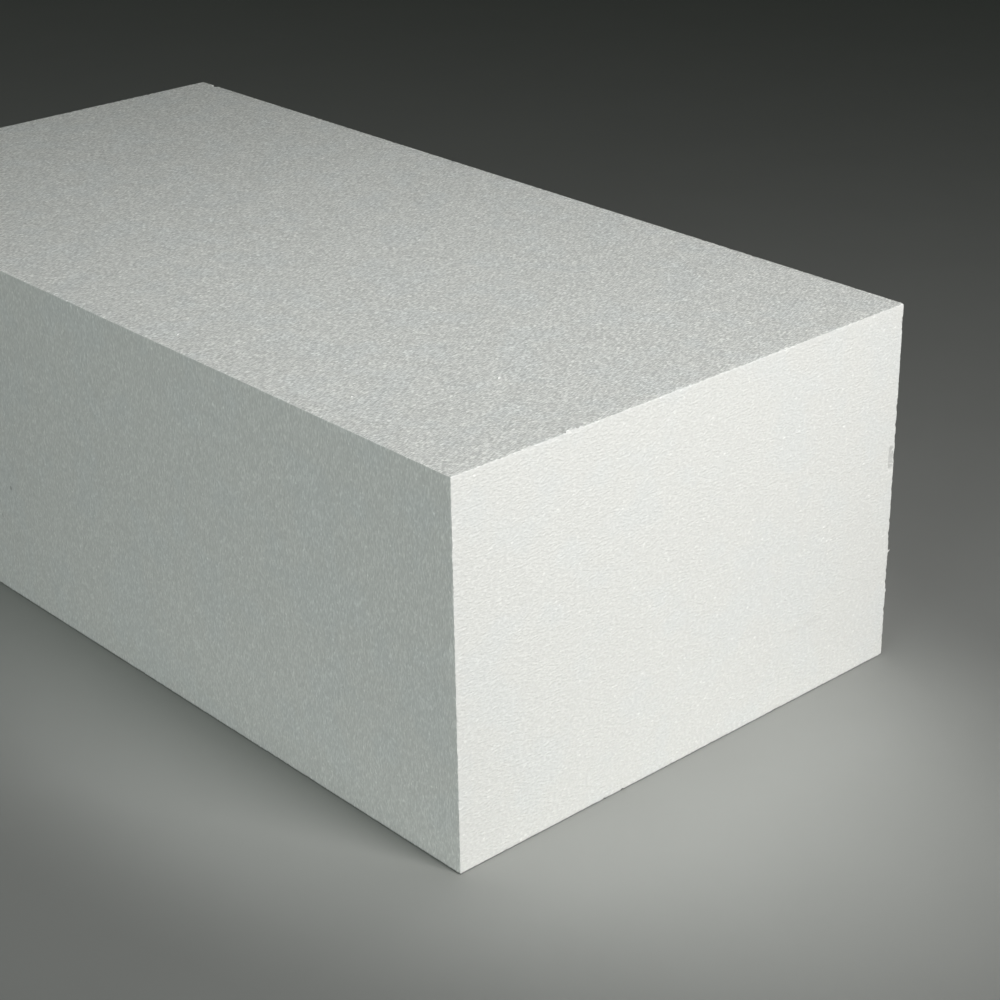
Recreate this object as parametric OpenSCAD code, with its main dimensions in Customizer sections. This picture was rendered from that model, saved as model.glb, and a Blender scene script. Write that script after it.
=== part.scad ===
// Cut foam block
//
// One solid block of white, fine-bead expanded polystyrene. Every face is cut with a
// hot wire, so the faces are flat and the edges are crisp. Handling has left a knock
// in one edge, a pressed mark beside a corner and two beads torn out at the foot.
//
// Origin: middle of the face that the block rests on.
// +X runs along the length, +Y across the width and +Z up. Millimetres.

/* [Block] */
// Length of the block
block_length = 600; // [300:10:1200]
// Width of the block
block_width = 300; // [160:10:600]
// Height of the block
block_height = 200; // [130:10:400]
// Radius that the wire and handling leave on the cut edges
edge_softness = 0.4; // [0.2:0.1:1]

/* [Knock in the back top edge] */
// Middle of the knock, measured from the left end
knock_from_left = 15; // [8:1:100]
// Length of the knock along the edge
knock_length = 5.6; // [2:0.2:12]
// Depth of the knock, square to the edge
knock_depth = 1.2; // [0.4:0.1:2.5]

/* [Pressed mark on the right end] */
// Middle of the mark, measured down from the top
mark_from_top = 84; // [20:1:110]
// Middle of the mark, measured in from the back face
mark_from_back = 3; // [1.5:0.5:20]
// Length of the mark, up and down the end
mark_length = 15; // [6:1:24]
// Width of the mark
mark_width = 3.6; // [1:0.2:6]
// Depth of the mark in the face of the end
mark_depth = 0.4; // [0.2:0.1:0.8]

/* [Beads torn out at the foot of the right end] */
// Diameter of the hole that one bead leaves
bead_hole = 2.2; // [1:0.2:4]
// Middle of the first hole, measured from the front face
bead_from_front = 92; // [10:1:140]
// Step from the first hole to the second
bead_step = 12; // [5:0.5:20]

/* [Hidden] */

foam_white = "#E6E7E3";
half_length = block_length / 2;
half_width = block_width / 2;
// how far each outline is extruded past the block
overrun = 5;
// sides of a full circle on screen; the arcs themselves are true
round_sides = 48;

// radius of the arc that has a given chord and rise
function arc_radius(chord, rise) = (chord * chord / 4 + rise * rise) / (2 * rise);

// a rectangle about the origin, with its corners softened
module soft_outline(along, across) {
    square([along - 2 * edge_softness, across], center = true);
    square([along, across - 2 * edge_softness], center = true);
    for (side = [-1, 1], end = [-1, 1])
        translate([side * (along / 2 - edge_softness), end * (across / 2 - edge_softness)])
            circle(edge_softness, $fn = round_sides);
}

// the block as the wire leaves it: what its plan, front and end outlines have in common
module cut_block() {
    translate([0, 0, block_height / 2])
        intersection() {
            linear_extrude(block_height + 2 * overrun, center = true)
                soft_outline(block_length, block_width);
            rotate([90, 0, 0])
                linear_extrude(block_width + 2 * overrun, center = true)
                    soft_outline(block_length, block_height);
            rotate([90, 0, 90])
                linear_extrude(block_length + 2 * overrun, center = true)
                    soft_outline(block_width, block_height);
        }
}

// the knock: the round side of a rod, pressed square across the back top edge
module edge_knock() {
    rod = arc_radius(knock_length, knock_depth);
    translate([knock_from_left - half_length, half_width, block_height])
        rotate([-45, 0, 0])
            translate([0, 0, rod - knock_depth])
                rotate([90, 0, 0])
                    cylinder(r = rod, h = 2 * rod, center = true, $fn = round_sides);
}

// the pressed mark: the round rim of a wheel, pushed into the right end by its back edge
module pressed_mark() {
    rim = arc_radius(mark_width, mark_depth);
    wheel = arc_radius(mark_length, mark_depth);
    translate([half_length + wheel - mark_depth, half_width - mark_from_back, block_height - mark_from_top])
        rotate([90, 0, 0])
            rotate_extrude($fn = round_sides)
                translate([wheel - rim, 0])
                    circle(rim, $fn = round_sides);
}

// the holes of two beads torn out of the bottom edge of the right end
module torn_beads() {
    for (step = [0, 1])
        translate([half_length, bead_from_front + step * bead_step - half_width, 0])
            sphere(d = bead_hole, $fn = round_sides);
}

module foam_block() {
    color(foam_white)
        difference() {
            cut_block();
            edge_knock();
            pressed_mark();
            torn_beads();
        }
}

foam_block();
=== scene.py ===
# %% [markdown]
# # A block of white polystyrene foam
# The object is one block of expanded polystyrene (EPS): small beads of plastic were blown up with
# steam until they filled a mould, and the big slab that came out was sliced with a hot wire into
# plain blocks. There is nothing inside but more beads, so one piece is enough.
#
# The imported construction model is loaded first. It fixes the size and the place of the block, and
# everything below takes its measures from it, so the looks can never drift away from the part.

# %% Load the frame
import math
import bmesh
import bpy
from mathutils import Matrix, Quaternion, Vector, noise


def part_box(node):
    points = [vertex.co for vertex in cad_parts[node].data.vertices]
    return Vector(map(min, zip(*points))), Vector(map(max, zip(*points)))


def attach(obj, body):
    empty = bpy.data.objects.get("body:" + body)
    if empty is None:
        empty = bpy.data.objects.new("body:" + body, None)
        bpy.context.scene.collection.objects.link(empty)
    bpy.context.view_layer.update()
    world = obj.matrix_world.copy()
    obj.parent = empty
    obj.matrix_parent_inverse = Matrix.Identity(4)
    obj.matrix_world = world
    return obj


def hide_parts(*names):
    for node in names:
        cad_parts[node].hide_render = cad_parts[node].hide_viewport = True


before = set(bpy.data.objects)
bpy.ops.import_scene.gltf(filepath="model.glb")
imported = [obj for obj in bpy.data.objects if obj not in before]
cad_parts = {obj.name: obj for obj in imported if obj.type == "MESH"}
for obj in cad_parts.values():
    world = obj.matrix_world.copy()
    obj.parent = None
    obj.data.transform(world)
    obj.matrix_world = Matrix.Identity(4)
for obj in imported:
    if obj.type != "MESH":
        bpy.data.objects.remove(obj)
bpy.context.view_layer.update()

MM = 0.001
low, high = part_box("foam_block")
size = high - low
left, front, foot = low
right, back, top = high
print("block, mm:", [round(side / MM, 2) for side in size])

# %% [markdown]
# ## The camera
# A long lens well back keeps the edges of a box nearly parallel, as a product picture does. The
# camera looks past the near corner of the block, from about 25 degrees above the table, so that
# the top and two sides show. Its direction is built from two angles: one round the block and one
# up from the table. A tiny roll levels the picture. The block runs out of the picture on the left.
# The lens and the sensor are in millimetres, as on a real camera, and everything else in metres.

# %% Camera
camera_turn = math.radians(48.25)
camera_lift = math.radians(25.24)
camera_roll = math.radians(-0.87)
camera_aim = Vector((14.4, 132.6, 0)) * MM
camera_distance = 1406 * MM
lens_length = 82.15
sensor_width = 36

away = Vector((
    math.sin(camera_turn) * math.cos(camera_lift),
    -math.cos(camera_turn) * math.cos(camera_lift),
    math.sin(camera_lift),
))
bpy.ops.object.camera_add(location=camera_aim + away * camera_distance)
camera = bpy.context.object
camera.name = "camera"
camera.rotation_mode = "QUATERNION"
camera.rotation_quaternion = away.to_track_quat("Z", "Y") @ Quaternion((0, 0, 1), camera_roll)
camera.data.lens = lens_length
camera.data.sensor_width = sensor_width
bpy.context.scene.camera = camera
print("camera at", [round(part, 3) for part in camera.location])

# %% [markdown]
# ## Soft studio light
# Three soft boxes do the work. The key stands low beyond the cut end, so that end is bright while
# its light only grazes the top and draws out the grain there. A broad fill lights the long side,
# and a small top light lifts the near part of the top. A honeycomb grid keeps the light of the key
# and the top box off the far floor, and *spread* is what Blender calls that.
#
# Two weak boxes keep the far sides from falling into black, one beyond the far end and one behind.
# They stand well away, just above the floor, and are lower than the block is high. So they light
# only the upright faces and leave the top alone.
#
# A lamp is placed by two angles and a distance from a point in the block, so that moving it round
# or closer never changes where it points. The distance and the side of the box are in metres, and
# the angles and the spread in degrees.

# %% Soft boxes
def linear(hex_colour):
    """The linear (red, green, blue) of an sRGB colour such as "#F0F1EC"."""
    parts = [int(hex_colour[i:i + 2], 16) / 255 for i in (1, 3, 5)]
    return tuple(p / 12.92 if p <= 0.04045 else ((p + 0.055) / 1.055) ** 2.4 for p in parts)


lamp_target = Vector((100, 0, 100)) * MM


def soft_box(name, turn, lift, distance, side, watts, spread, colour):
    """A square area lamp that looks at the block. Turn is counted from +X towards the front."""
    turn, lift = math.radians(turn), math.radians(lift)
    toward = Vector((
        math.cos(turn) * math.cos(lift),
        -math.sin(turn) * math.cos(lift),
        math.sin(lift),
    ))
    bpy.ops.object.light_add(type="AREA", location=lamp_target + toward * distance)
    lamp = bpy.context.object
    lamp.name = name
    lamp.rotation_mode = "QUATERNION"
    lamp.rotation_quaternion = toward.to_track_quat("Z", "Y")
    lamp.data.shape = "SQUARE"
    lamp.data.size = side
    lamp.data.energy = watts
    lamp.data.spread = math.radians(spread)
    lamp.data.color = linear(colour)
    lamp.visible_camera = False
    print(name, "at", [round(part, 2) for part in lamp.location], "m,", watts, "W")


soft_box("key", -5, 24, 1.6, 0.6, 7.5, 100, "#FFFEFD")
soft_box("fill", 75, 15, 1.8, 1.2, 14.3, 180, "#F7FFFD")
soft_box("top_light", 0, 80, 1.0, 0.4, 0.94, 100, "#FCFEFF")
soft_box("far_end_light", 180, 0, 6.4, 0.16, 5.0, 30, "#FFFFFF")
soft_box("back_light", 270, 0, 6.4, 0.16, 5.0, 30, "#FFFFFF")

# %% [markdown]
# ## One way to add a node
# Materials are graphs of nodes. Written out by hand each node takes four or five lines, so one
# small function adds a node, sets its own options and fills its sockets. A socket gets either a
# plain value or another node's output, and then the function draws the wire.

# %% Node helper
def add(tree, kind, sockets=None, **options):
    """Adds one node to the tree. Sockets are given by name or number: a value, or an output."""
    new = tree.nodes.new("ShaderNode" + kind)
    for option, value in options.items():
        setattr(new, option, value)
    for socket, value in (sockets or {}).items():
        if isinstance(value, bpy.types.NodeSocket):
            tree.links.new(value, new.inputs[socket])
        else:
            new.inputs[socket].default_value = value
    return new


def new_material(name):
    """An empty node material, and its shader and output joined up. Returns (material, tree, shader)."""
    material = bpy.data.materials.new(name)
    material.use_nodes = True
    tree = material.node_tree
    tree.nodes.clear()
    shader = add(tree, "BsdfPrincipled")
    add(tree, "OutputMaterial", {"Surface": shader.outputs["BSDF"]})
    return material, tree, shader

# %% [markdown]
# ## The walls
# The world is a dim, even studio wall round it all. It fills the shadows a little and is faintly
# green-grey, as white light is after it has bounced about in a painted room. *Light Path* tells
# what kind of ray meets the wall. The rays that show it, straight to the camera or by way of
# something shiny or clear, find a plain dark grey, and the rays that light things find the green
# one. The view transform is Standard, so a colour comes out of the render as it was written in the
# material.

# %% World
def showing(tree):
    """1 for the rays that show a surface, straight or by way of something shiny or clear, else 0."""
    ray = add(tree, "LightPath")
    indirect = add(tree, "Math", {
        0: ray.outputs["Is Glossy Ray"], 1: ray.outputs["Is Transmission Ray"],
    }, operation="MAXIMUM")
    either = add(tree, "Math", {
        0: ray.outputs["Is Camera Ray"], 1: indirect.outputs[0],
    }, operation="MAXIMUM")
    return either.outputs[0]


walls_light = linear("#E6FFEA")
walls_grey = linear("#EEF3EF")
walls_strength = 0.061

world = bpy.data.worlds.new("studio_walls")
world.use_nodes = True
walls = world.node_tree.nodes["Background"]
walls.inputs["Strength"].default_value = walls_strength
walls_colour = add(world.node_tree, "Mix", {
    0: showing(world.node_tree), 6: (*walls_light, 1), 7: (*walls_grey, 1),
}, data_type="RGBA")
world.node_tree.links.new(walls_colour.outputs[2], walls.inputs["Color"])
bpy.context.scene.world = world
bpy.context.scene.view_settings.view_transform = "Standard"

# %% [markdown]
# ## The floor
# The block stands on a sheet of paper, much larger than the picture, so that no edge of it shows.
# The paper is painted pale where the object stands and falls away to a darker grey. This is a
# painted pool of light, standing in for the light of the lamps falling off with distance, and it
# gives depth to a plain picture without another lamp. It is matt, with the faint cloudiness of
# uncoated paper, and takes the block's soft shadow.
#
# The painted pool is an oval. The place is moved and scaled so that the rim of the oval becomes a
# circle of radius 1, and the distance from its centre sets how far the painted light has fallen off.
# Within half that distance the paper keeps its full tone.

# %% Floor
paper_side = 14
paper_dark = linear("#9C9D9A")
paper_pale = linear("#9E9F9C")
cloud_width = 90 * MM
painted_pool_centre = (100 * MM, -23 * MM, 0)
painted_pool_reach = (475 * MM, 282 * MM)
painted_pool_heart = 0.5
painted_falloff_tone = 0.49

bpy.ops.mesh.primitive_plane_add(size=paper_side, location=(0, 0, foot))
floor = bpy.context.object
floor.name = "paper_floor"

paper, tree, shader = new_material("paper_with_painted_light_pool")
place = add(tree, "TexCoord").outputs["Object"]
cloudy = add(tree, "TexNoise", {"Vector": place, "Scale": 1 / cloud_width, "Detail": 3})
tone = add(tree, "ValToRGB", {"Fac": cloudy.outputs["Fac"]})
tone.color_ramp.elements[0].position = 0.3
tone.color_ramp.elements[0].color = (*paper_dark, 1)
tone.color_ramp.elements[1].position = 0.7
tone.color_ramp.elements[1].color = (*paper_pale, 1)

# Painted light: the paper is painted darker with distance from the block, as a pool of light falls off.
offset = add(tree, "VectorMath", {0: place, 1: painted_pool_centre}, operation="SUBTRACT")
squeezed = add(tree, "VectorMath", {
    0: offset.outputs[0], 1: (1 / painted_pool_reach[0], 1 / painted_pool_reach[1], 0),
}, operation="MULTIPLY")
distance = add(tree, "VectorMath", {0: squeezed.outputs[0]}, operation="LENGTH")
painted_pool = add(tree, "MapRange", {
    "Value": distance.outputs["Value"], "From Min": painted_pool_heart, "From Max": 1.0,
    "To Min": 1.0, "To Max": painted_falloff_tone,
}, interpolation_type="SMOOTHSTEP", label="painted_pool")
painted_falloff = add(tree, "VectorMath", {
    0: tone.outputs["Color"], "Scale": painted_pool.outputs["Result"],
}, operation="SCALE")
tree.links.new(painted_falloff.outputs["Vector"], shader.inputs["Base Color"])
shader.inputs["Roughness"].default_value = 0.9
shader.inputs["Specular IOR Level"].default_value = 0.25

# %% [markdown]
# A soft box throws no light behind itself, so seen from other sides the paper far off would end in
# a black band. Far from the block the paper is given the dim tone of the studio walls instead, as a
# glow that only the rays that show it can find. It comes in between 1.6 and 2.4 m from the middle
# of the block.

# %% Far floor in the tone of the walls
walls_begin = 1.6
walls_reached = 2.4
walls_tone = 0.047

from_middle = add(tree, "VectorMath", {0: place}, operation="LENGTH")
far_off = add(tree, "MapRange", {
    "Value": from_middle.outputs["Value"], "From Min": walls_begin, "From Max": walls_reached,
}, interpolation_type="SMOOTHSTEP")
glow = add(tree, "Math", {0: far_off.outputs["Result"], 1: showing(tree)}, operation="MULTIPLY")
glow_strength = add(tree, "Math", {0: glow.outputs[0], 1: walls_tone}, operation="MULTIPLY")
shader.inputs["Emission Color"].default_value = (*walls_grey, 1)
tree.links.new(glow_strength.outputs[0], shader.inputs["Emission Strength"])
floor.data.materials.append(paper)

# %% [markdown]
# ## The cut block
# A hot wire leaves flat faces and edges that look sharp from a step away. Close up, each edge is a
# row of cut beads, nibbled and slightly rounded. A plain box can't show that, and a box divided
# finely all over would need millions of faces for beads that lie flat anyway. So the mesh is fine
# only where the shape needs it: in a narrow band along all twelve edges. Each middle stays one
# single flat face.
#
# First the plain box is added at its size and place, and its edges are softened with a bevel.

# %% Plain box with softened edges
edge_softness = 0.3 * MM

bpy.ops.object.select_all(action="DESELECT")
bpy.ops.mesh.primitive_cube_add(size=1, location=(low + high) / 2, scale=size)
block = bpy.context.object
block.name = "cut_block"
bpy.ops.object.transform_apply(location=True, rotation=True, scale=True)
bpy.ops.object.mode_set(mode="EDIT")
bpy.ops.mesh.bevel(offset=edge_softness, segments=2, affect="EDGES")

# %% [markdown]
# Then lines are ruled round the block beside each edge, as with a marking gauge: *bisect* cuts
# along a plane without taking anything away. The lines lie close together at the edge and further
# apart inwards.

# %% Rule lines beside the edges
band_lines = 7
line_step = 0.6 * MM
step_growth = 1.16
band = [line_step * (step_growth ** (n + 1) - 1) / (step_growth - 1) for n in range(band_lines)]

for axis in range(3):
    for inward in band:
        for level in (low[axis] + inward, high[axis] - inward):
            on_plane = (low + high) / 2
            on_plane[axis] = level
            across = Vector((0, 0, 0))
            across[axis] = 1
            bpy.ops.mesh.select_all(action="SELECT")
            bpy.ops.mesh.bisect(plane_co=on_plane, plane_no=across)
print("bands reach", round(band[-1] / MM, 1), "mm in from each edge")

# %% [markdown]
# Selecting by place is what a hand does with the mouse, so one helper does it here: it selects the
# vertices, edges or faces that pass a test, and nothing else.

# %% Select by place
def pick(kind, test):
    """In edit mode, selects the VERTs, EDGEs or FACEs that pass the test. Returns how many."""
    bpy.ops.mesh.select_mode(type=kind)
    bpy.ops.mesh.select_all(action="DESELECT")
    mesh = bmesh.from_edit_mesh(block.data)
    parts = {"VERT": mesh.verts, "EDGE": mesh.edges, "FACE": mesh.faces}[kind]
    chosen = [part for part in parts if test(part)]
    for part in chosen:
        part.select_set(True)
    bmesh.update_edit_mesh(block.data)
    return len(chosen)


def middle(edge):
    """The middle of an edge."""
    return (edge.verts[0].co + edge.verts[1].co) / 2

# %% [markdown]
# The six big middles are lifted out, the bands are divided along their length into pieces about a
# millimetre long, which is a third of a bead, and each opening is closed again with one face.
# Without the middles the cuts stay in the bands. An edge runs along an axis when that axis takes
# nearly all of its length, and lies in a plane when it is no more than a hair off it.

# %% Divide the bands
piece_length = 1.0 * MM
first_cuts = 10
hair = 0.01 * MM
inside_band = band[-1] - hair
middle_area = (30 * MM) ** 2
nearly_all = 0.9

pick("FACE", lambda face: face.calc_area() > middle_area)
bpy.ops.mesh.delete(type="ONLY_FACE")
for axis in range(3):
    pieces = round((size[axis] - 2 * band[-1]) / piece_length / first_cuts)
    for cuts in (first_cuts, pieces):
        pick("EDGE", lambda edge: (
            abs((edge.verts[1].co - edge.verts[0].co)[axis]) > nearly_all * edge.calc_length()
            and low[axis] + inside_band < middle(edge)[axis] < high[axis] - inside_band
        ))
        bpy.ops.mesh.subdivide(number_cuts=cuts - 1)

for axis in range(3):
    for level in (low[axis], high[axis]):
        pick("EDGE", lambda edge: (
            edge.is_boundary and all(abs(vertex.co[axis] - level) < hair for vertex in edge.verts)
        ))
        bpy.ops.mesh.edge_face_add()
bpy.ops.mesh.select_all(action="SELECT")
bpy.ops.mesh.normals_make_consistent(inside=False)
print("faces after dividing:", len(bmesh.from_edit_mesh(block.data).faces))

# %% [markdown]
# ## Nibbled edges
# At an edge the wire leaves slices of beads with little to hold them, and handling knocks some of
# them out. That leaves shallow bites about as wide as a bead, with a slightly crumbled line
# between them. The *Displace* modifier moves the surface along its normals by the grey value of a
# texture, and a vertex group says how strongly each place takes part. The group is filled from the
# distance to the nearest edge, so the flat faces stay flat.

# %% Move the surface by place
def fade(distance, reach):
    """1 at no distance, falling smoothly to 0 at the end of the reach."""
    rest = max(0.0, 1 - abs(distance) / reach)
    return rest * rest * (3 - 2 * rest)


def from_edge(place):
    """How far a point on the surface lies from the nearest edge of the block."""
    gaps = sorted(min(place[i] - low[i], high[i] - place[i]) for i in range(3))
    return max(gaps[1], 0.0)


def push(name, share, distance, direction="NORMAL", texture=None):
    """Moves the block's surface by distance times share(place), and by the texture's grey value."""
    group = block.vertex_groups.new(name=name)
    held = 0
    for vertex in block.data.vertices:
        strength = share(vertex.co)
        if strength > 0:
            group.add([vertex.index], min(strength, 1.0), "REPLACE")
            held += 1
    change = block.modifiers.new(name, "DISPLACE")
    change.vertex_group = name
    change.direction = direction
    change.mid_level = 0
    change.strength = distance
    if texture:
        change.texture = texture
        change.texture_coords = "LOCAL"
    bpy.ops.object.modifier_apply(modifier=name)
    block.vertex_groups.clear()
    print(name, "moved", held, "points")

# %% [markdown]
# Two textures make the wear. A cell pattern, white only in the heart of each cell, gives the bites
# of lost beads, and a slow noise decides which stretches of an edge have lost some. A cloud
# pattern crumbles the rest of the line by a tenth of a millimetre.

# %% Bites and crumbs along the edges
bite_width = 3.0 * MM
bite_heart = 0.55
bite_depth = 0.6 * MM
bite_reach = 2.4 * MM
crumble_width = 1.8 * MM
crumble_depth = 0.16 * MM
crumble_reach = 1.3 * MM
stretch_length = 16 * MM
weak_reach = 4 * MM
weak_loss = 1.5
sound_loss = 0.4

lost_beads = bpy.data.textures.new("lost_beads", "VORONOI")
lost_beads.noise_scale = bite_width
lost_beads.use_color_ramp = True
lost_beads.color_ramp.elements[0].color = (1, 1, 1, 1)
lost_beads.color_ramp.elements[1].color = (0, 0, 0, 1)
lost_beads.color_ramp.elements[1].position = bite_heart

crumbled = bpy.data.textures.new("crumbled", "CLOUDS")
crumbled.noise_scale = crumble_width


def weak_edge(place):
    """How ready an edge is to lose beads: the back upright edge of the cut end lost the most."""
    weak = place.x > right - weak_reach and place.y > back - weak_reach
    return weak_loss if weak else sound_loss


def bitten(place):
    """Share of a full bite at a place: most at the edge, and only where beads have gone."""
    gone = weak_edge(place) + noise.noise(place / stretch_length)
    return fade(from_edge(place), bite_reach) * gone


bpy.ops.object.mode_set(mode="OBJECT")
push("bites", bitten, -bite_depth, texture=lost_beads)
push("crumble", lambda place: fade(from_edge(place), crumble_reach), -crumble_depth, texture=crumbled)

# %% [markdown]
# ## Marks of handling
# A few small marks make this block itself and not just any: a knock in the back top edge near its
# far end, a long shallow dent pressed into the cut end beside the back edge, two beads torn out at
# the foot of the end, and two proud beads on the upright edges. The knock, the dent and the holes
# are small beside the mesh, so the faces there are divided first. The big middle faces are left
# whole, which is what the limit on the area of a face is for.

# %% Finer mesh where the marks go
small_area = (4 * MM) ** 2


def refine(around, reach, cuts):
    """Divides the small faces within reach of a place, so that it can take a finer shape."""
    bpy.ops.object.mode_set(mode="EDIT")
    found = pick("FACE", lambda face: (
        face.calc_area() < small_area
        and all(abs(face.calc_center_median()[i] - around[i]) < reach[i] for i in range(3))
    ))
    bpy.ops.mesh.subdivide(number_cuts=cuts)
    bpy.ops.object.mode_set(mode="OBJECT")
    print("divided", found, "faces")


dent = Vector((right, back - 2.6 * MM, top - 84 * MM))
dent_width = 4.2 * MM
dent_length = 15 * MM
bead_holes = [Vector((right, front + across * MM, foot)) for across in (92, 104)]
refine(dent, Vector((0.3, 4.2, 10)) * MM, 3)
refine(Vector((left + 15 * MM, back, top)), Vector((4.5, 2.5, 2.5)) * MM, 2)
for hole in bead_holes:
    refine(hole, Vector((3, 2.6, 3)) * MM, 2)

# %% [markdown]
# Each mark is a small function that says, for a place on the surface, what share of the full depth
# it has there: 0 outside the mark and up to 1 in its deepest part. The knock is steep on its left
# and runs out slowly on its right. The dent is a rounded bar, and the holes are hollows of balls.

# %% Knock, dent and holes
def bar(offset, half, soft):
    """1 inside a bar's half width, with sides that slope over the soft length."""
    return min(1.0, max(0.0, (half - abs(offset)) / soft))


knock_start = left + 12.2 * MM
knock_length = 5.6 * MM
knock_zone = 3 * MM
knock_width = 2.6 * MM
knock_depth = 1.3 * MM
steep_share = 0.2
slope_share = 0.6
dent_zone = 0.6 * MM
dent_share = 0.65
dent_tilt = 0.35
dent_side_slope = 0.6 * MM
dent_end_slope = 2 * MM
dent_depth = 0.8 * MM
hole_radius = 1.1 * MM
hole_depth = 0.8 * MM


def in_knock(place):
    """A steep side on the left, a long slope on the right, along the back top edge only."""
    along = (place.x - knock_start) / knock_length
    if not 0 < along < 1 or place.y < back - knock_zone or place.z < top - knock_zone:
        return 0
    sides = min(1, along / steep_share) * min(1, (1 - along) / slope_share)
    return sides * fade(from_edge(place), knock_width)


def in_dent(place):
    """A rounded bar, deeper on the side away from the edge."""
    if place.x < right - dent_zone:
        return 0
    across, along = place.y - dent.y, place.z - dent.z
    deeper = dent_share - dent_tilt * across / (dent_width / 2)
    sides = bar(across, dent_width / 2, dent_side_slope)
    return deeper * sides * bar(along, dent_length / 2, dent_end_slope)


def in_hole(place):
    """The hollow of a round bead."""
    nearest = min((place - hole).length for hole in bead_holes)
    return math.sqrt(max(0.0, 1 - (nearest / hole_radius) ** 2))


push("knock", in_knock, -knock_depth)
push("dent", in_dent, -dent_depth, direction="X")
push("holes", in_hole, -hole_depth)

# %% [markdown]
# The proud beads were dragged a little way out by the wire before it let them go. Each is given by
# its height on the edge, how far it reaches along the edge and how far it stands out.

# %% Proud beads on the upright edges
upright_zone = 2 * MM
proud_width = 1.4 * MM


def on_upright(place, side, height, reach):
    """Strength of a proud bead at a height on the right-hand upright edge of one side."""
    if place.x < right - upright_zone or abs(place.y - side) > upright_zone:
        return 0
    return fade(place.z - height, reach) * fade(from_edge(place), proud_width)


push("proud_front", lambda place: on_upright(place, front, foot + 160 * MM, 1.8 * MM), 0.7 * MM)
push("proud_back", lambda place: on_upright(place, back, foot + 39 * MM, 1.6 * MM), 0.5 * MM)

# %% [markdown]
# ## The torn lip
# Where the wire left the top edge of the cut end it tore a sliver loose, and a shorter one beside
# it. Each still hangs on along the edge, stands up and curls over the top. The narrow bevelled
# faces there are extruded in three steps. Each step leans further over and shrinks the end, which
# draws a thin curl out of the edge. Three more steps, leaning outwards, draw a stray fibre out of
# the back upright edge. A face of the bevel is told by its place and by its Normal, which leans
# towards both of the faces that meet at the edge. The steps are in millimetres.

# %% Curls drawn out of an edge
bevel_zone = edge_softness * 1.6
leaning = 0.2


def draw_out(test, steps, shrink):
    """Extrudes the faces that pass the test through the steps, shrinking the end each time."""
    bpy.ops.object.mode_set(mode="EDIT")
    found = pick("FACE", test)
    for step in steps:
        bpy.ops.mesh.extrude_region_move(TRANSFORM_OT_translate={"value": Vector(step) * MM})
        mesh = bmesh.from_edit_mesh(block.data)
        ends = [vertex.co for vertex in mesh.verts if vertex.select]
        centre = sum(ends, Vector()) / len(ends)
        bpy.ops.transform.resize(value=shrink, center_override=centre)
    bpy.ops.object.mode_set(mode="OBJECT")
    print("drawn out from", found, "faces")


def top_edge_of_end(start, end):
    """A test for the bevelled faces along the top of the cut end, between two places across it."""
    def test(face):
        centre = face.calc_center_median()
        in_bevel = centre.x > right - bevel_zone and centre.z > top - bevel_zone
        leans = face.normal.x > leaning and face.normal.z > leaning
        return in_bevel and leans and start < centre.y < end
    return test


def back_edge_of_end(height, reach):
    """A test for the bevelled faces of the back upright edge, about one height."""
    def test(face):
        centre = face.calc_center_median()
        in_bevel = centre.x > right - bevel_zone and centre.y > back - bevel_zone
        leans = face.normal.x > leaning and face.normal.y > leaning
        return in_bevel and leans and abs(centre.z - height) < reach
    return test


draw_out(top_edge_of_end(front + 67.4 * MM, front + 73.9 * MM),
         [(0, 0, 0.7), (-0.5, -0.9, 0.35), (-0.4, -1.5, 0.05)], (0.9, 0.85, 0.6))
draw_out(top_edge_of_end(front + 74.8 * MM, front + 78.0 * MM),
         [(0, 0, 0.3), (-0.2, -0.3, 0.3), (-0.4, -0.4, 0.1)], (0.8, 0.75, 0.6))
draw_out(back_edge_of_end(foot + 61.5 * MM, 0.8 * MM),
         [(0, 0.5, 0.1), (0, 0.6, 0.2), (-0.1, 0.6, 0.1)], (0.6, 0.6, 0.6))

# %% [markdown]
# A few crumbs of torn skin cling to the top. Each is a small ball of faces, drawn out along the drag
# of the wire, pressed flat and sunk a little into the face. They are joined to the block, since they
# are the same foam and move with it. The list gives each one's place along and across the block from
# the left front corner, its length and its width, in millimetres.

# %% Clinging crumbs
crumb_places = [(532.3, 88.6, 3.0, 1.3), (381.8, 13.4, 1.9, 1.0), (502.7, 25.2, 1.7, 0.9)]
crumb_height = 0.9 * MM
crumb_lift = crumb_height * 0.2
crumb_turn = math.radians(18)

bpy.ops.object.select_all(action="DESELECT")
for along, across, length, width in crumb_places:
    bpy.ops.mesh.primitive_ico_sphere_add(
        subdivisions=2, radius=0.5,
        location=(left + along * MM, front + across * MM, top + crumb_lift),
        rotation=(0, 0, crumb_turn), scale=(width * MM, length * MM, crumb_height))
    bpy.ops.object.transform_apply(location=True, rotation=True, scale=True)
    block.select_set(True)
    bpy.context.view_layer.objects.active = block
    bpy.ops.object.join()
print("joined", len(crumb_places), "crumbs")

# %% [markdown]
# Smooth shading with an angle limit rounds the bites and the dent but keeps the corners crisp.

# %% Shade the block
crisp_angle = math.radians(40)

bpy.ops.object.mode_set(mode="EDIT")
bpy.ops.mesh.select_all(action="SELECT")
bpy.ops.mesh.normals_make_consistent(inside=False)
bpy.ops.object.mode_set(mode="OBJECT")
bpy.ops.object.shade_smooth_by_angle(angle=crisp_angle)
block.data.calc_loop_triangles()
print("block has", len(block.data.loop_triangles), "triangles")

# %% [markdown]
# ## The foam itself
# Expanded polystyrene is a foam of closed cells about a tenth of a millimetre wide, with walls of
# clear plastic. Light that goes in is scattered out again nearly whole, so the block is white, and
# a little warm. The hot wire melts a thin skin over the cut beads. That skin has a faint sheen
# under grazing light, so the roughness is 0.4 and not the 0.9 of plaster. The IOR is 1.59, that
# of solid polystyrene.
#
# Every pattern reads Object coordinates, which are metres in the block's own frame. The scale of a
# pattern is then 1 / (its real width), and nothing slides when the block moves.

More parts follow.
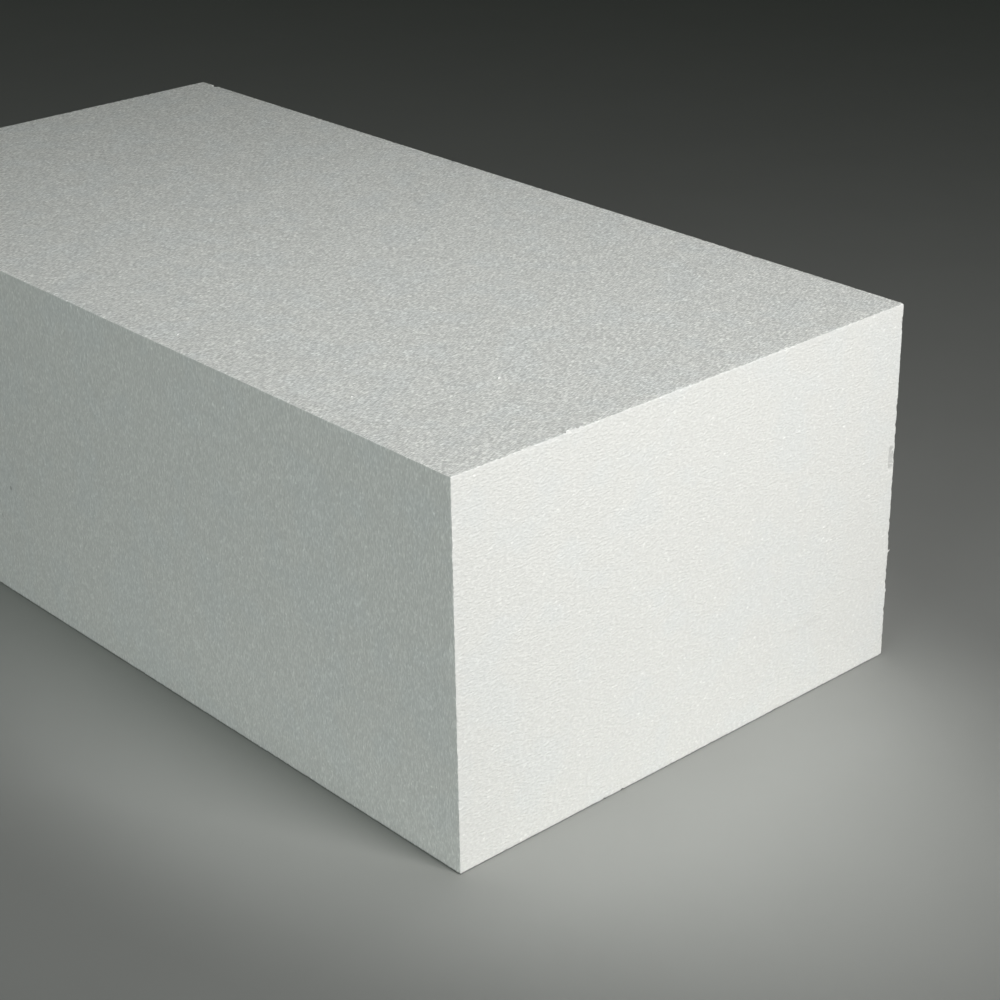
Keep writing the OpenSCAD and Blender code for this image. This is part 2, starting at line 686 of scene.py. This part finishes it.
# %% Foam white and its faint patches
foam, tree, shader = new_material("hot_wire_cut_eps")
coordinates = add(tree, "TexCoord")
place = coordinates.outputs["Object"]
shader.inputs["Roughness"].default_value = 0.4
shader.inputs["IOR"].default_value = 1.59

foam_white = linear("#D5D5D2")
cool_white = linear("#D4D5D3")
patch_width = 28 * MM
patch_begins = 0.45
patch_full = 0.65

patches = add(tree, "TexNoise", {"Vector": place, "Scale": 1 / patch_width, "Detail": 2.0})
patch_share = add(tree, "MapRange", {
    "Value": patches.outputs["Fac"], "From Min": patch_begins, "From Max": patch_full,
}, interpolation_type="SMOOTHSTEP")
tinted = add(tree, "Mix", {
    0: patch_share.outputs["Result"], 6: (*foam_white, 1), 7: (*cool_white, 1),
}, data_type="RGBA", label="tinted")
foam_colour = tinted.outputs[2]

# %% [markdown]
# ## Beads and the cut grain
# The beads are about 3 mm wide. A *Voronoi* texture is made the way they are: every cell grows
# from a point until it meets its neighbours. Sliced by the face it gives rounded cells that sink
# by less than a tenth of a millimetre towards the seams.
#
# The grain within the beads is finer than the render can show: torn cell walls of 0.1 to 0.3 mm.
# It is drawn at 0.8 mm, with one finer octave on top, which is as fine as still shows. The wire
# dragged the grain along: across the block on the top and the ends, and straight up on the long
# sides. A *Mapping* node of the kind *Texture* stretches a pattern along one axis and squeezes it
# along another. Two of them are mixed by the way the face looks, which the Normal of the object
# tells: its Y is 1 or -1 on the long sides and 0 on all the others.
#
# Noise is at its flattest on whole steps of its own grid. The top lies 250 grain widths above the
# foot, which is a whole number, and would lose a good part of its contrast. So the pattern is
# stretched in height too, by 1.2, and the top cuts it between two steps.

# %% Beads and grain
bead_width = 3.2 * MM
bead_rise = 0.10
bead_roundness = 2.0
grain_width = 0.8 * MM
grain_rise = 0.40
drag_across = (0.42, 2.4, 1.2)
drag_upward = (0.7, 1.0, 2.4)
turn_begins = 0.5
turn_done = 0.8

beads = add(tree, "TexVoronoi", {"Vector": place, "Scale": 1 / bead_width}, label="beads")
swell = add(tree, "Math", {0: beads.outputs["Distance"], 1: bead_roundness}, operation="POWER")
bead_height = add(tree, "Math", {
    0: swell.outputs[0], 1: -bead_rise,
}, operation="MULTIPLY", label="bead_rise")

facing = add(tree, "SeparateXYZ", {"Vector": coordinates.outputs["Normal"]})
sideways = add(tree, "Math", {0: facing.outputs["Y"]}, operation="ABSOLUTE")
long_side = add(tree, "MapRange", {
    "Value": sideways.outputs[0], "From Min": turn_begins, "From Max": turn_done,
}, label="long_side")
topward = add(tree, "MapRange", {
    "Value": facing.outputs["Z"], "From Min": turn_begins, "From Max": turn_done,
}, label="topward")

pulled_across = add(tree, "Mapping", {
    "Vector": place, "Scale": drag_across,
}, vector_type="TEXTURE", label="pulled_across")
pulled_upward = add(tree, "Mapping", {
    "Vector": place, "Scale": drag_upward,
}, vector_type="TEXTURE", label="pulled_upward")
dragged = add(tree, "Mix", {
    0: long_side.outputs["Result"], 4: pulled_across.outputs[0], 5: pulled_upward.outputs[0],
}, data_type="VECTOR").outputs[1]
grain = add(tree, "TexNoise", {
    "Vector": dragged, "Scale": 1 / grain_width, "Detail": 1.0, "Roughness": 0.4,
}, label="grain")
relief = add(tree, "Math", {
    0: grain.outputs["Fac"], 1: grain_rise, 2: bead_height.outputs[0],
}, operation="MULTIPLY_ADD", label="grain_rise")
bump = add(tree, "Bump", {"Height": relief.outputs[0], "Distance": 1 * MM}, label="bump")
tree.links.new(bump.outputs["Normal"], shader.inputs["Normal"])

# %% [markdown]
# Bits of torn skin stand out as pale flecks about a millimetre wide. On the top the same flecks are
# made much brighter, and there they are also painted glints of the grazing light. They come in drifts,
# because some beads tear more than others. Round dots at the hearts of a *Voronoi* pattern, a little
# stretched along the drag, give one place for a fleck in every cell. Each cell also has a random
# colour, and its red serves as the number that the cell drew. A slow noise is added to it, and only
# a cell that comes out high enough gets its fleck. So flecks crowd in one place and are rare in the
# next.

# %% Flecks of torn skin
fleck_spacing = 4.2 * MM
fleck_rim = 0.20
fleck_heart = 0.12
fleck_stretch = (0.8, 1.2, 0.8)
drift_width = 13 * MM
drift_share = 2.0
fleck_bar = 1.43

fleck_place = add(tree, "Mapping", {"Vector": place, "Scale": fleck_stretch}, vector_type="TEXTURE")
flecks = add(tree, "TexVoronoi", {
    "Vector": fleck_place.outputs[0], "Scale": 1 / fleck_spacing,
}, label="flecks")
dot = add(tree, "MapRange", {
    "Value": flecks.outputs["Distance"], "From Min": fleck_rim, "From Max": fleck_heart,
}, interpolation_type="SMOOTHSTEP", label="dot")
drawn = add(tree, "SeparateColor", {0: flecks.outputs["Color"]})
drift = add(tree, "TexNoise", {"Vector": place, "Scale": 1 / drift_width, "Detail": 2.0})
chance = add(tree, "Math", {
    0: drift.outputs["Fac"], 1: drift_share, 2: drawn.outputs[0],
}, operation="MULTIPLY_ADD")
torn = add(tree, "Math", {
    0: chance.outputs[0], 1: fleck_bar,
}, operation="GREATER_THAN", label="torn")
fleck_and_glint_share = add(tree, "Math", {
    0: dot.outputs["Result"], 1: torn.outputs[0],
}, operation="MULTIPLY", label="fleck_and_glint_share")

# %% [markdown]
# The grain also shows as tone. Part of it is the foam's own mottling, and part is painted shade,
# since a hollow traps light. The cube of the noise is what is used: it makes the raised spots few and
# bright, and the hollows many and only a little dark. Its mean is taken off, so that the grain
# leaves the tone of the whole face as it was.
#
# The grain and the flecks of the top are painted much stronger than those of the sides, and the
# ends have the least. That difference is painted light: on the top the tone stands in for the dark
# shade and the bright glints that the grazing key light draws out of the relief. The Normal of the
# object tells the faces apart again: its Z is 1 on the top and 0 on the sides. The foam white is
# lower than that of a smooth block, 0.66 and not 0.8. It is the tone between the hollows and the
# flecks, and it leaves the painted glints of the top room above it.

# %% Tone of grain and flecks
grain_and_shade_tone = 2.9
grain_power = 3.0
grain_mean = 0.129
grain_and_shade_on_ends = 0.14
grain_and_shade_on_long_sides = 0.29
fleck_and_glint_tone = 1.9
flecks_on_sides = 0.1

# Face weights: the top takes the full tone, with its painted shade and painted glints, and the sides
# take little.
side_grain_and_shade = add(tree, "MapRange", {
    "Value": long_side.outputs["Result"], "To Min": grain_and_shade_tone * grain_and_shade_on_ends,
    "To Max": grain_and_shade_tone * grain_and_shade_on_long_sides,
}, label="side_grain_and_shade")
grain_and_shade_face = add(tree, "MapRange", {
    "Value": topward.outputs["Result"], "To Min": side_grain_and_shade.outputs["Result"],
    "To Max": grain_and_shade_tone,
}, label="grain_and_shade_face")
fleck_and_glint_face = add(tree, "MapRange", {
    "Value": topward.outputs["Result"], "To Min": fleck_and_glint_tone * flecks_on_sides, "To Max": fleck_and_glint_tone,
}, label="fleck_and_glint_face")

peaks = add(tree, "Math", {0: grain.outputs["Fac"], 1: grain_power}, operation="POWER", label="peaks")
centred = add(tree, "Math", {0: peaks.outputs[0], 1: grain_mean}, operation="SUBTRACT", label="centred")
grain_and_shade = add(tree, "Math", {
    0: centred.outputs[0], 1: grain_and_shade_face.outputs["Result"], 2: 1.0,
}, operation="MULTIPLY_ADD")
shade = add(tree, "Math", {
    0: fleck_and_glint_share.outputs[0], 1: fleck_and_glint_face.outputs["Result"], 2: grain_and_shade.outputs[0],
}, operation="MULTIPLY_ADD")

# %% [markdown]
# A few places are given a tone of their own. The pressed dent is painted darker, as painted shade
# in its hollow. Two specks of dirt sit on the front, a rubbed smear crosses the foot of the end, and
# the front has a paler rub beside the upright edge. Each is an oval: the place is moved and scaled so
# that the oval becomes a ball of radius 1, and the distance from its centre gives the share.

# %% Spots of another tone
spot_heart = 0.55


def spot(centre, widths):
    """1 in the heart of an oval, falling to 0 at its rim. The widths are in millimetres."""
    scale = [2 / (width * MM) for width in widths]
    offset = [-centre[i] * scale[i] for i in range(3)]
    ball = add(tree, "VectorMath", {0: place, 1: scale, 2: offset}, operation="MULTIPLY_ADD")
    distance = add(tree, "VectorMath", {0: ball.outputs[0]}, operation="LENGTH")
    share = add(tree, "MapRange", {
        "Value": distance.outputs["Value"], "From Min": 1.0, "From Max": spot_heart,
    }, interpolation_type="SMOOTHSTEP")
    return share.outputs["Result"]


# The dent's darker tone is painted shade. The specks, the smear and the rub are the foam's own marks.
spots = {
    "painted shade in dent": (dent, (6, 5.2, 18), -0.22),
    "first speck": ((left + 223 * MM, front, foot + 68.5 * MM), (2.6, 4, 3.4), -0.3),
    "second speck": ((left + 210 * MM, front, foot + 47 * MM), (2.2, 4, 3.2), -0.25),
    "smear": ((right, back - 65 * MM, foot + 42.5 * MM), (6, 38, 6), -0.035),
    "pale rub": ((right - 2.5 * MM, front, foot + 114.5 * MM), (3.5, 4, 14), 0.12),
}
for name, (centre, widths, change) in spots.items():
    shade = add(tree, "Math", {
        0: spot(centre, widths), 1: change, 2: shade.outputs[0],
    }, operation="MULTIPLY_ADD", label=name)

# %% [markdown]
# Two more tones are painted on. A dark line of painted contact shadow, half a millimetre high, runs
# round the foot, where the block meets the floor. And the softened edges are a little darker, as
# painted shade that dims the bright rim the key lamp draws on the bevels: the largest part of the
# Normal is 1 on a flat face and 0.7 halfway round an edge.
#
# At the end the brightest fleck, which on the top is a painted glint, is held to 1.45 times the foam
# white, since no surface gives back more light than it gets.

# %% Foot line and edges, painted shade
contact_shadow_top = 1.0 * MM
contact_shadow_full = 0.5 * MM
contact_shadow_tone = -0.7
edge_begins = 0.95
edge_full = 0.8
edge_shade_tone = -0.07
brightest = 1.45

# Painted contact shadow: a dark line round the foot, where the block meets the floor.
height = add(tree, "SeparateXYZ", {"Vector": place}).outputs["Z"]
contact_shadow = add(tree, "MapRange", {
    "Value": height, "From Min": contact_shadow_top, "From Max": contact_shadow_full,
}, interpolation_type="SMOOTHSTEP")
shade = add(tree, "Math", {
    0: contact_shadow.outputs["Result"], 1: contact_shadow_tone, 2: shade.outputs[0],
}, operation="MULTIPLY_ADD", label="foot line")

# Painted shade on the softened edges, dimming the rim that the key lamp lights on the bevels.
endways = add(tree, "Math", {0: facing.outputs["X"]}, operation="ABSOLUTE")
flat_side = add(tree, "Math", {0: sideways.outputs[0], 1: endways.outputs[0]}, operation="MAXIMUM")
flatness = add(tree, "Math", {0: flat_side.outputs[0], 1: facing.outputs["Z"]}, operation="MAXIMUM")
painted_edge_shade = add(tree, "MapRange", {
    "Value": flatness.outputs[0], "From Min": edge_begins, "From Max": edge_full,
})
shade = add(tree, "Math", {
    0: painted_edge_shade.outputs["Result"], 1: edge_shade_tone, 2: shade.outputs[0],
}, operation="MULTIPLY_ADD", label="painted edge shade")

capped = add(tree, "Math", {0: shade.outputs[0], 1: brightest}, operation="MINIMUM", label="capped")
shaded = add(tree, "VectorMath", {0: foam_colour, "Scale": capped.outputs[0]}, operation="SCALE")
tree.links.new(shaded.outputs["Vector"], shader.inputs["Base Color"])
block.data.materials.append(foam)

# %% [markdown]
# ## One object, one body
# The block replaces the part of the construction model of the same name and takes its place in the
# frame. Nothing moves on it, so it rides on the root body. The slot names the material that whoever
# uses the part may swap.

# %% Join the frame
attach(block, "root")
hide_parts("foam_block")
